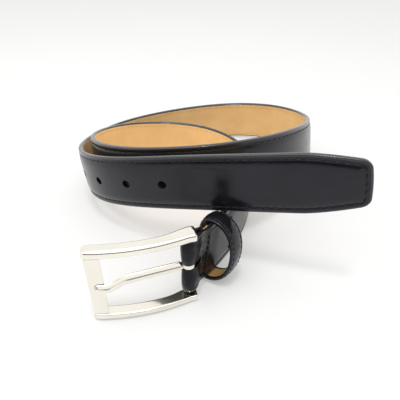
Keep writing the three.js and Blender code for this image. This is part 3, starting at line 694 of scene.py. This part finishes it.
def make_strap_stitches():
    groove_floor = FACE - GROOVE_DEPTH + 0.0001
    face = strap_stitches(seam_points(STITCH_START), groove_floor, 1)
    add_piece("face_stitches", face, "strap", ["face_seam"], [BLACK_THREAD], 60)
    back = strap_stitches(seam_points(TURNBACK_LENGTH + 0.003), 0.0001, -1, radius=LINING_STITCH_RADIUS)
    add_piece("lining_stitches", back, "strap", ["lining_seam"], [TAN_THREAD], 60)
    front_rows = []
    back_rows = []
    for s in CROSS_ROW_PLACES:
        padded = smooth((s - FULL_WIDTH_AT + 0.002) / 0.010)
        height = FACE + CROWN * padded if s > FULL_WIDTH_AT else COVER_BASE + 0.0019
        front_rows.append(strap_stitches(cross_points(s), height, 1, CROSS_PITCH, CROSS_LENGTH))
        back_rows.append(strap_stitches(cross_points(s), TURNBACK_FACE, -1, CROSS_PITCH, CROSS_LENGTH))
    names = [f"fold_seam_face_{i + 1}" for i in range(2)]
    add_piece("cross_stitches_face", merge(front_rows), "strap", names, [BLACK_THREAD], 60)
    names = [f"fold_seam_back_{i + 1}" for i in range(2)]
    add_piece("cross_stitches_back", merge(back_rows), "strap", names, [BLACK_THREAD], 60)


# ---------------------------------------------------------------- keeper

def keeper_point(angle, offset):
    """v and n of the keeper's loop at an angle, offset outwards."""
    side = STRAP_WIDTH / 2 + KEEPER_SIDE_CLEARANCE + offset
    level = FACE / 2
    is_front = np.sin(angle) >= 0
    front = FACE + CROWN + KEEPER_ROOM + offset - level
    back = level - TURNBACK_FACE + KEEPER_BACK_CLEARANCE + offset
    power = np.where(is_front, 2.2, 3.2)
    depth = np.where(is_front, front, -back)
    v = side * np.sign(np.cos(angle)) * np.abs(np.cos(angle)) ** (2 / power)
    n = level + depth * np.abs(np.sin(angle)) ** (2 / power)
    return v, n


def even_angles(count):
    """Angles at equal steps along the loop."""
    fine = np.linspace(0, 2 * np.pi, 4001)
    v, n = keeper_point(fine, 0.0015)
    reach = np.concatenate([[0], np.cumsum(np.hypot(np.diff(v), np.diff(n)))])
    return np.interp(np.arange(count) / count * reach[-1], reach, fine), reach[-1]


def keeper_place(angle, ds, offset):
    middle, along, across, outward = strap_frame(KEEPER_CENTRE)
    v, n = keeper_point(angle, offset)
    return (
        middle
        + along * np.asarray(ds)[..., None]
        + across * np.asarray(v)[..., None]
        + outward * np.asarray(n)[..., None]
    )


KEEPER_OUTER = [(-0.00628, 0.0011), (-0.00622, 0.0015), (-0.006, 0.0018), (-0.00565, 0.00195),
                (-0.0052, 0.002), (-0.0049, 0.0019), (-0.00465, 0.00182), (-0.0044, 0.0019),
                (-0.0041, 0.00205), (-0.0034, 0.00225), (-0.0022, 0.00245), (0, 0.00255)]
KEEPER_INNER = [(-0.0062, 0.0005), (-0.006, 0.0001), (-0.0057, 0), (-0.0046, 0), (-0.0044, 0.0006),
                (-0.002, 0.0007)]


def keeper_wrinkle(angle, ds):
    """Slow waves in the keeper's face, gone at its edges."""
    fade = 1 - (ds / 0.0063) ** 2
    slow = np.sin(9 * angle + 0.7) * 0.5 + np.sin(23 * angle + 1.9 + 300 * ds) * 0.35
    return 0.00014 * fade * slow


def make_keeper():
    angles, length = even_angles(160)
    outer = KEEPER_OUTER + [(-ds, k) for ds, k in KEEPER_OUTER[-2::-1]]
    inner = [(-ds, k) for ds, k in KEEPER_INNER] + KEEPER_INNER[::-1]
    section = outer + inner
    rings = []
    for ds, offset in section:
        wrinkle = keeper_wrinkle(angles, ds) if offset > 0.0016 else 0
        rings.append(keeper_place(angles, ds + 0 * angles, offset + wrinkle))
    bm, _ = grid_bmesh(np.array(rings), loop_rows=True, loop_columns=True)
    add_piece("keeper_band", bm, "strap", ["keeper_cover"], [BLACK_LEATHER], 50)

    half = KEEPER_WIDTH / 2 - 0.0018
    thick = KEEPER_LINING_THICKNESS + 0.00012
    section = [(-half, 0.0003), (-half + 0.0001, 0.0001), (-half + 0.0003, 0), (0, 0), (half - 0.0003, 0),
               (half - 0.0001, 0.0001), (half, 0.0003), (half, thick), (0, thick), (-half, thick)]
    rings = [keeper_place(angles, ds + 0 * angles, offset) for ds, offset in section]
    bm, _ = grid_bmesh(np.array(rings), loop_rows=True, loop_columns=True)
    add_piece("keeper_band_lining", bm, "strap", ["keeper_lining"],
              [KEEPER_TAN_WITH_PAINTED_SHADE], 50)

    count = int(length / KEEPER_STITCH_PITCH)
    fine, _ = even_angles(count * 60)
    fine = np.append(fine, 2 * np.pi)
    centres = (np.arange(count)[:, None] + 0.5 + STITCH_RINGS[None] * 0.38) / count * (len(fine) - 1)
    angle = np.interp(centres, np.arange(len(fine)), fine)
    _, along, _, _ = strap_frame(KEEPER_CENTRE)
    rows = []
    for side in (-1, 1):
        ds = side * (KEEPER_WIDTH / 2 - KEEPER_STITCH_INSET) + 0 * angle
        base = 0.00185 + STITCH_RADIUS * (0.6 - 1.1 * STITCH_RINGS[None] ** 4)
        points = keeper_place(angle, ds, base + 0 * angle)
        normals = unit(keeper_place(angle, ds, base + 0.001) - points)
        rows.append(bead_mesh(points, along + 0 * points, normals, STITCH_RADIUS * 0.9))
    nodes = ["keeper_seam_buckle_side", "keeper_seam_tip_side"]
    add_piece("keeper_stitches", merge(rows), "strap", nodes, [BLACK_THREAD], 60)


# ---------------------------------------------------------------- buckle

def buckle_matrix():
    """From buckle coordinates (x to the front bar, y to the face, z along the pin) to the model's frame."""
    _, along, _, _ = strap_frame(0.0)
    heading = math.atan2(along[1], along[0]) + math.pi + BUCKLE_SWING
    return Matrix.Translation(Vector(PIN_CENTRE)) @ Matrix.Rotation(heading, 4, "Z")


def rail_middle(x):
    half = BUCKLE_LENGTH / 2
    return PIN_SETBACK + BUCKLE_BOW * (1 - ((x - half) / half) ** 2)


def rail_section(x):
    back = -BUCKLE_DEPTH / 2 - LUG_DEPTH * smooth(1 - x / LUG_LENGTH)
    front = BUCKLE_DEPTH / 2
    corners = [(back, 0), (front, 0), (front, RAIL_RIDGE), (0, RAIL_HEIGHT), (back, RAIL_HEIGHT)]
    return rounded(corners, [0.0007, 0.0009, 0.0018, 0.0016, 0.0011], 7)


def rail_rounding(x):
    tail = np.clip(1 - (x + RAIL_TAIL) / TAIL_ROUNDING, 0, 1)
    head = np.clip(1 - (BUCKLE_LENGTH - x) / CORNER_ROUNDING, 0, 1)
    return 1 - 0.3 * (1 - math.sqrt(1 - tail**2 * 0.98)) - 0.5 * (1 - math.sqrt(1 - head**2 * 0.98))


def rail_bmesh(side):
    stations = [-RAIL_TAIL + TAIL_ROUNDING * t for t in (0, 0.03, 0.1, 0.25, 0.5, 1)]
    start = stations[-1]
    end = BUCKLE_LENGTH - CORNER_ROUNDING
    stations += [start + (end - start) * i / 44 for i in range(1, 45)]
    stations += [BUCKLE_LENGTH - CORNER_ROUNDING * t for t in (0.8, 0.6, 0.4, 0.25, 0.14, 0.06, 0.02, 0)]
    rings = []
    for x in stations:
        section = rail_section(x) * rail_rounding(x)
        middle = rail_middle(max(x, 0))
        rings.append([(x, middle + y, side * (GAP_HALF + z)) for y, z in section])
    return loft(rings)


def front_bar_face(x):
    return rail_middle(x) + BUCKLE_DEPTH / 2 - FRONT_BAR_RECESS


def front_bar_bmesh():
    """The bar's section in x and y, carried straight along z between the rails."""
    end = BUCKLE_LENGTH - 0.0004
    xs = np.linspace(FRONT_BAR_START, end, 7)
    face = [(x, front_bar_face(x)) for x in xs]
    back = [(x, front_bar_face(x) - FRONT_BAR_DEPTH) for x in xs[::-1]]
    cuts = [0.0007] + [0.00001] * 5 + [0.0009, 0.0009] + [0.00001] * 5 + [0.0007]
    outline = rounded(face + back, cuts, 5)
    half = GAP_HALF + 0.4 * RAIL_HEIGHT
    return loft([[(x, y, z) for x, y in outline] for z in (-half, half)])


def notch_cutter():
    half = PRONG_WIDTH / 2 + NOTCH_CLEARANCE
    end = FRONT_BAR_START + PRONG_REACH + NOTCH_CLEARANCE
    rings = []
    for x, width in ((FRONT_BAR_START - 0.001, half), (end - 0.0022, half), (end - 0.0012, half * 0.9),
                     (end - 0.0005, half * 0.7), (end, half * 0.45)):
        floor = front_bar_face(x) + PRONG_PROUD - PRONG_THICKNESS - RUNNING_GAP
        top = front_bar_face(x) + 0.001
        corners = [(floor, -width), (top, -width), (top, width), (floor, width)]
        rings.append([(x, y, z) for y, z in rounded(corners, [0.0004, 0.0001, 0.0001, 0.0004])])
    return loft(rings)


def junction_cutter(side):
    """Thin line between the front bar's face and a rail."""
    rings = []
    for x in (FRONT_BAR_START + 0.0004, BUCKLE_LENGTH - 0.0035, BUCKLE_LENGTH - 0.0012):
        face = front_bar_face(x)
        z = side * (GAP_HALF - 0.0001)
        rings.append([(x, face - 0.0003, z), (x, face + 0.0006, z + side * 0.0001),
                      (x, face + 0.0006, z - side * 0.0004), (x, face - 0.0003, z - side * 0.0003)])
    return loft(rings)


def make_buckle():
    body = apply_boolean(rail_bmesh(1), [rail_bmesh(-1), front_bar_bmesh()], "UNION")
    body = apply_boolean(body, [notch_cutter(), junction_cutter(1), junction_cutter(-1)])
    bmesh.ops.transform(body, matrix=buckle_matrix(), verts=body.verts)
    add_piece("buckle_body", body, "buckle", ["buckle_frame"], [NICKEL], 30)


def prong_underside(x):
    shank = -PRONG_THICKNESS / 2 + PRONG_SHANK_RISE * min(x, JOGGLE_START) / JOGGLE_START
    in_notch = front_bar_face(max(x, FRONT_BAR_START)) + PRONG_PROUD - PRONG_THICKNESS
    return shank + (in_notch - shank) * smooth((x - JOGGLE_START) / PRONG_JOGGLE_LENGTH)


def make_prong():
    """Flat-fronted shank with a bevelled ridge above its middle, and an eye round the pin."""
    end = FRONT_BAR_START + PRONG_REACH
    stations = list(np.linspace(WRAP_RADIUS + 0.0006, PRONG_NECK_DETAIL_END, 8))
    stations += list(np.linspace(PRONG_NECK_DETAIL_END, JOGGLE_START, 8)[1:])
    stations += list(np.linspace(JOGGLE_START, end - PRONG_TIP_LENGTH, 22)[1:])
    stations += [end - PRONG_TIP_LENGTH * t for t in (0.8, 0.6, 0.42, 0.27, 0.15, 0.06, 0.01)]
    rings = []
    for x in stations:
        t = float(np.clip((x - end + PRONG_TIP_LENGTH) / PRONG_TIP_LENGTH, 0, 1))
        round_off = math.sqrt(1 - 0.99 * t * t)
        neck = smooth((x - PRONG_NECK_START) / PRONG_NECK_LENGTH)
        half = (PRONG_EYE_HALF + (PRONG_WIDTH / 2 - PRONG_EYE_HALF) * neck) * (0.35 + 0.65 * round_off)
        low = prong_underside(x) + 0.0006 * (1 - round_off)
        high = low + PRONG_THICKNESS * (0.4 + 0.6 * round_off)
        shoulder = low + 0.42 * (high - low)
        ridge = PRONG_RIDGE * round_off
        corners = [(low, -half), (low, half), (shoulder, half), (high - 0.42 * ridge, ridge),
                   (high, 0), (high - 0.1 * ridge, -half)]
        cuts = [0.0005, 0.0005, 0.0006, 0.0001, 0.0001, 0.0006]
        rings.append([(x, y, z) for y, z in rounded(corners, cuts, 4)])
    shank = loft(rings)
    turns = np.linspace(0, 2 * np.pi, 41)[:-1]
    inner = WRAP_RADIUS - 0.0002
    outer = WRAP_RADIUS + PRONG_EYE_WALL
    half = PRONG_EYE_HALF
    corners = [(inner, -half), (outer, -half), (outer, half), (inner, half)]
    section = rounded(corners, 0.0005, 4)
    ring = [[(r * math.cos(a), r * math.sin(a), z) for a in turns] for r, z in section]
    eye, _ = grid_bmesh(np.array(ring), loop_rows=True, loop_columns=True)
    body = apply_boolean(shank, [eye], "UNION")
    bmesh.ops.transform(body, matrix=buckle_matrix(), verts=body.verts)
    add_piece("prong_body", body, "prong", ["prong"], [NICKEL], 30)


# ---------------------------------------------------------------- materials

NOISE_RANGE = (0.3, 0.7)


class Shader:
    """A material's node tree with short calls for what the materials here need."""

    def __init__(self, name):
        self.material = bpy.data.materials.new(name)
        self.material.use_nodes = True
        self.nodes = self.material.node_tree.nodes
        self.links = self.material.node_tree.links
        self.bsdf = self.nodes["Principled BSDF"]
        coordinates = self.nodes.new("ShaderNodeTexCoord")
        self.position = coordinates.outputs["Object"]

    def noise(self, size, detail=3.0, roughness=0.5, scale=(1, 1, 1)):
        """Noise whose features are about `size` metres."""
        node = self.nodes.new("ShaderNodeTexNoise")
        node.inputs["Scale"].default_value = 1 / size
        node.inputs["Detail"].default_value = detail
        node.inputs["Roughness"].default_value = roughness
        source = self.position
        if scale != (1, 1, 1):
            mapping = self.nodes.new("ShaderNodeMapping")
            mapping.inputs["Scale"].default_value = scale
            self.links.new(source, mapping.inputs["Vector"])
            source = mapping.outputs["Vector"]
        self.links.new(source, node.inputs["Vector"])
        return node.outputs["Fac"]

    def cells(self, size):
        """Distance to the nearest of scattered points about `size` metres apart."""
        node = self.nodes.new("ShaderNodeTexVoronoi")
        node.inputs["Scale"].default_value = 1 / size
        self.links.new(self.position, node.inputs["Vector"])
        return node.outputs["Distance"]

    def span(self, value, low, high, start=NOISE_RANGE[0], end=NOISE_RANGE[1]):
        """value mapped from start..end to low..high."""
        node = self.nodes.new("ShaderNodeMapRange")
        for label, number in (("From Min", start), ("From Max", end), ("To Min", low), ("To Max", high)):
            node.inputs[label].default_value = number
        self.links.new(value, node.inputs["Value"])
        return node.outputs["Result"]

    def colours(self, value, first, second):
        """Base colour from first to second as value goes over its middle range."""
        ramp = self.nodes.new("ShaderNodeValToRGB")
        ramp.color_ramp.elements[0].position = NOISE_RANGE[0]
        ramp.color_ramp.elements[0].color = (*first, 1)
        ramp.color_ramp.elements[1].position = NOISE_RANGE[1]
        ramp.color_ramp.elements[1].color = (*second, 1)
        self.links.new(value, ramp.inputs["Fac"])
        self.links.new(ramp.outputs["Color"], self.bsdf.inputs["Base Color"])

    def roughness(self, value, low, high):
        self.links.new(self.span(value, low, high), self.bsdf.inputs["Roughness"])

    def bump(self, layers):
        """layers are (value, depth in metres), the first one nearest the surface's own shape."""
        normal = None
        for value, depth in layers:
            node = self.nodes.new("ShaderNodeBump")
            node.inputs["Strength"].default_value = 1
            node.inputs["Distance"].default_value = depth
            self.links.new(value, node.inputs["Height"])
            if normal is not None:
                self.links.new(normal, node.inputs["Normal"])
            normal = node.outputs["Normal"]
        self.links.new(normal, self.bsdf.inputs["Normal"])

    def set(self, **values):
        for label, value in values.items():
            self.bsdf.inputs[label.replace("_", " ")].default_value = value


def black_leather():
    shader = Shader("black_leather")
    shader.colours(shader.noise(0.012), (0.004, 0.004, 0.006), (0.008, 0.008, 0.011))
    shader.roughness(shader.noise(0.006, 4), 0.17, 0.24)
    shader.bump([
        (shader.noise(0.011, 2), 0.00005),
        (shader.cells(0.0006), 0.000006),
        (shader.noise(0.00025, 2), 0.000004),
    ])
    shader.set(IOR=1.42, Specular_Tint=(0.9, 0.9, 1.0, 1))
    return shader.material


def fold_leather():
    """The same leather where it is skived and bent: duller and finely creased."""
    shader = Shader("fold_leather")
    shader.colours(shader.noise(0.008), (0.004, 0.004, 0.006), (0.008, 0.008, 0.011))
    shader.roughness(shader.noise(0.003, 4), 0.2, 0.3)
    shader.bump([(shader.noise(0.0035, 3), 0.0001), (shader.cells(0.0006), 0.000008)])
    shader.set(IOR=1.28, Specular_Tint=(0.9, 0.9, 1.0, 1))
    return shader.material


def edge_paint():
    shader = Shader("edge_paint")
    shader.colours(shader.noise(0.01), (0.008, 0.008, 0.01), (0.014, 0.014, 0.017))
    shader.roughness(shader.noise(0.004), 0.18, 0.3)
    shader.bump([(shader.noise(0.0025, 3), 0.00003)])
    shader.set(IOR=1.5, Coat_Weight=0.4, Coat_Roughness=0.1)
    return shader.material


def tan_leather(name, dark, light):
    shader = Shader(name)
    shader.colours(shader.noise(0.02, 5, 0.6), dark, light)
    shader.roughness(shader.noise(0.008, 3), 0.42, 0.58)
    shader.bump([
        (shader.noise(0.0016, 4, 0.65), 0.00008),
        (shader.cells(0.0006), 0.00002),
    ])
    shader.set(IOR=1.45)
    return shader.material


# Heights over which painted shade darkens the keeper's lining, from where it starts to where it is fully
# dark.
KEEPER_PAINTED_SHADE_START = 0.012
KEEPER_PAINTED_SHADE_END = 0.022


def keeper_tan_with_painted_shade():
    """The keeper's lining, tan at the foot of the loop and darkened by painted shade from the lower of the
    two heights above upward.
    """
    shader = Shader("keeper_tan_with_painted_shade")
    height = shader.nodes.new("ShaderNodeSeparateXYZ")
    shader.links.new(shader.position, height.inputs["Vector"])
    level = shader.span(height.outputs["Z"], 0, 1, KEEPER_PAINTED_SHADE_START, KEEPER_PAINTED_SHADE_END)
    # The near-black end is painted shade on the upper part of the loop, not the leather's own colour.
    shader.colours(level, (0.42, 0.23, 0.08), (0.012, 0.009, 0.008))
    shader.roughness(shader.noise(0.004), 0.45, 0.6)
    shader.bump([(shader.noise(0.0006, 4), 0.00003)])
    return shader.material


def thread(name, dark, light, gloss):
    shader = Shader(name)
    shader.colours(shader.noise(0.0005, 2), dark, light)
    shader.roughness(shader.noise(0.0004, 2), gloss, gloss + 0.15)
    shader.bump([(shader.noise(0.00018, 2), 0.00004)])
    shader.set(IOR=1.4)
    return shader.material


def nickel():
    shader = Shader("polished_nickel")
    shader.colours(shader.noise(0.015, 2), (0.84, 0.80, 0.72), (0.87, 0.835, 0.76))
    shader.roughness(shader.noise(0.004, 4), 0.06, 0.11)
    shader.bump([(shader.noise(0.006, 2), 0.00002)])
    shader.set(Metallic=1.0)
    return shader.material


def wire():
    shader = Shader("staple_steel")
    shader.colours(shader.noise(0.002, 2), (0.45, 0.45, 0.46), (0.6, 0.6, 0.6))
    shader.roughness(shader.noise(0.0006, 3, 0.5, (1, 1, 0.1)), 0.28, 0.42)
    shader.bump([(shader.noise(0.0004, 2, 0.5, (1, 1, 0.1)), 0.00001)])
    shader.set(Metallic=1.0)
    return shader.material


def board():
    shader = Shader("bonded_board")
    shader.colours(shader.noise(0.0009, 5, 0.7), (0.2, 0.15, 0.11), (0.4, 0.31, 0.23))
    shader.roughness(shader.noise(0.001, 3), 0.8, 0.95)
    shader.bump([(shader.noise(0.0006, 4, 0.7), 0.0001)])
    return shader.material


def floor_material():
    shader = Shader("pale_floor")
    shader.colours(shader.noise(0.4, 2), (0.5, 0.5, 0.5), (0.51, 0.51, 0.505))
    shader.roughness(shader.noise(0.2, 2), 0.6, 0.65)
    shader.set(Specular_IOR_Level=0.2, Emission_Color=(1, 1, 0.995, 1), Emission_Strength=0.26)
    return shader.material


# ---------------------------------------------------------------- stage

WORLD_STRENGTH = 1.08
DARK_STRENGTH = 0.03
DARK_HEIGHT = 0.19
DARK_HALF_HEIGHT = (0.1, 0.3)
DARK_FRONT = (0.2, 0.6)
BACKDROP_STRENGTH = 0.93
FLOOR_REACH = 12
FLOOR_FRONT = -0.7
CAMERA_FROM_ROUTE = Vector((0, -0.240, 0.169))
CAMERA_LOOKS_DOWN = math.radians(34.3)


def make_floor():
    mesh = bpy.data.meshes.new("floor")
    corners = [
        (-FLOOR_REACH, FLOOR_FRONT, 0), (FLOOR_REACH, FLOOR_FRONT, 0),
        (FLOOR_REACH, FLOOR_REACH, 0), (-FLOOR_REACH, FLOOR_REACH, 0),
    ]
    mesh.from_pydata(corners, [], [(0, 1, 2, 3)])
    mesh.materials.append(floor_material())
    floor = bpy.data.objects.new("floor", mesh)
    bpy.context.scene.collection.objects.link(floor)


def make_world():
    """White surroundings with a dark band low down on the side that the buckle faces. The camera
    itself sees an even backdrop; only light and reflections see the band."""
    world = bpy.data.worlds.new("surroundings")
    bpy.context.scene.world = world
    world.use_nodes = True
    nodes, links = world.node_tree.nodes, world.node_tree.links
    background = nodes["Background"]
    coordinates = nodes.new("ShaderNodeTexCoord")
    direction = nodes.new("ShaderNodeSeparateXYZ")
    links.new(coordinates.outputs["Generated"], direction.inputs["Vector"])

    def math_node(operation, first, second):
        node = nodes.new("ShaderNodeMath")
        node.operation = operation
        links.new(first, node.inputs[0])
        if isinstance(second, float):
            node.inputs[1].default_value = second
        elif second is not None:
            links.new(second, node.inputs[1])
        return node.outputs["Value"]

    def fade(value, start, end, low, high):
        node = nodes.new("ShaderNodeMapRange")
        node.interpolation_type = "SMOOTHSTEP"
        for label, number in (("From Min", start), ("From Max", end), ("To Min", low), ("To Max", high)):
            node.inputs[label].default_value = number
        links.new(value, node.inputs["Value"])
        return node.outputs["Result"]

    toward_front = math_node("MULTIPLY", direction.outputs["Y"], -1.0)
    front = fade(toward_front, DARK_FRONT[0], DARK_FRONT[1], 0, 1)
    away = math_node("SUBTRACT", direction.outputs["Z"], DARK_HEIGHT)
    away = math_node("ABSOLUTE", away, None)
    band = fade(away, DARK_HALF_HEIGHT[0], DARK_HALF_HEIGHT[1], 1, 0)
    dark = math_node("MULTIPLY", front, band)
    sky = fade(dark, 0, 1, WORLD_STRENGTH, DARK_STRENGTH)
    path = nodes.new("ShaderNodeLightPath")
    seen = nodes.new("ShaderNodeMix")
    seen.inputs["B"].default_value = BACKDROP_STRENGTH
    links.new(path.outputs["Is Camera Ray"], seen.inputs["Factor"])
    links.new(sky, seen.inputs["A"])
    background.inputs["Color"].default_value = (1, 0.995, 0.985, 1)
    links.new(seen.outputs["Result"], background.inputs["Strength"])


def make_lights():
    for name, place_at, size, power in (
        ("overhead", (-0.15, -0.2, 1.1), 1.0, 5.2),
        ("left_fill", (-1.0, -0.3, 0.7), 0.7, 1.5),
        ("spot", (-0.01, -0.24, 0.85), 0.12, 1.8),
    ):
        light = bpy.data.lights.new(name, "AREA")
        light.shape = "SQUARE"
        light.size = size
        light.energy = power
        holder = bpy.data.objects.new(name, light)
        holder.location = place_at
        holder.rotation_euler = (-Vector(place_at)).to_track_quat("-Z", "Y").to_euler()
        bpy.context.scene.collection.objects.link(holder)


def make_camera():
    camera = bpy.data.cameras.new("camera")
    camera.sensor_width = 36
    camera.lens = 34.83
    camera.clip_start = 0.01
    holder = bpy.data.objects.new("camera", camera)
    holder.location = Vector(OFFSET) + CAMERA_FROM_ROUTE
    holder.rotation_euler = (math.radians(90) - CAMERA_LOOKS_DOWN, 0, 0)
    bpy.context.scene.collection.objects.link(holder)
    bpy.context.scene.camera = holder


# ---------------------------------------------------------------- assembly

BLACK_LEATHER = black_leather()
EDGE_PAINT = edge_paint()
FOLD_LEATHER = fold_leather()
TAN_LEATHER = tan_leather("tan_leather", (0.74, 0.45, 0.18), (0.83, 0.54, 0.23))
KEEPER_TAN_WITH_PAINTED_SHADE = keeper_tan_with_painted_shade()
BLACK_THREAD = thread("black_thread", (0.003, 0.003, 0.004), (0.007, 0.007, 0.008), 0.3)
TAN_THREAD = thread("tan_thread", (0.58, 0.36, 0.15), (0.7, 0.45, 0.2), 0.55)
NICKEL = nickel()

make_cover()
make_lining()
make_strap_stitches()
make_keeper()
make_buckle()
make_prong()
for node, material in (("filler_core", board()), ("keeper_staple", wire()), ("pivot_pin", NICKEL)):
    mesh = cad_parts[node].data
    mesh.materials.clear()
    mesh.materials.append(material)

make_floor()
make_world()
make_lights()
make_camera()
bpy.context.scene.view_settings.view_transform = "Standard"
